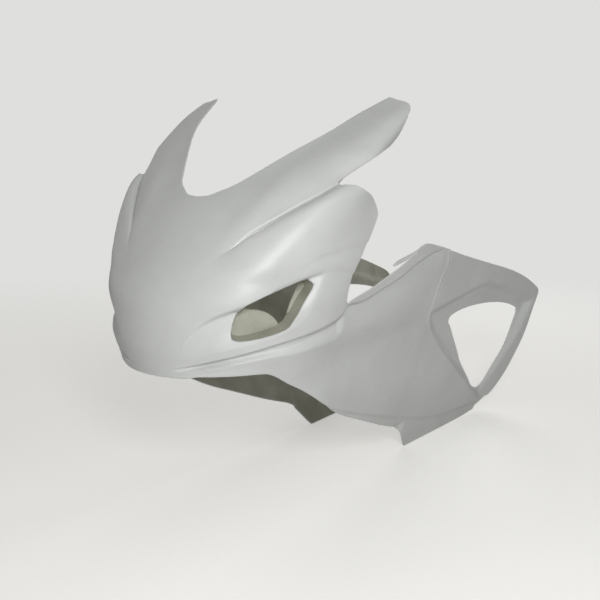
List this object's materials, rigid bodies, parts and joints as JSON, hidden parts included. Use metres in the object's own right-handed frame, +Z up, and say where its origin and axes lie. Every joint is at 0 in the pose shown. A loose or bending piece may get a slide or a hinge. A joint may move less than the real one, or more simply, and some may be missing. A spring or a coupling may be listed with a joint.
{
  "type": "motorcycle race fairing",
  "caption": "One-piece moulded upper fairing with a closed nose, screen arms, intake openings and long side panels with triangular vents.",
  "frame": {"origin": "lowest point of the screen cut-out, on the centre plane", "axes": "+Y to the rear of the motorcycle, +Z up, +X to the left of the motorcycle, centre plane at X 0"},
  "size_m": [0.4442, 0.9705, 0.6359],
  "materials": {
    "gelcoat": "white polyester gelcoat, satin gloss, over glass-fibre laminate"
  },
  "bodies": {
    "root": {"fairing_shell": "gelcoat"}
  },
  "joints": []
}
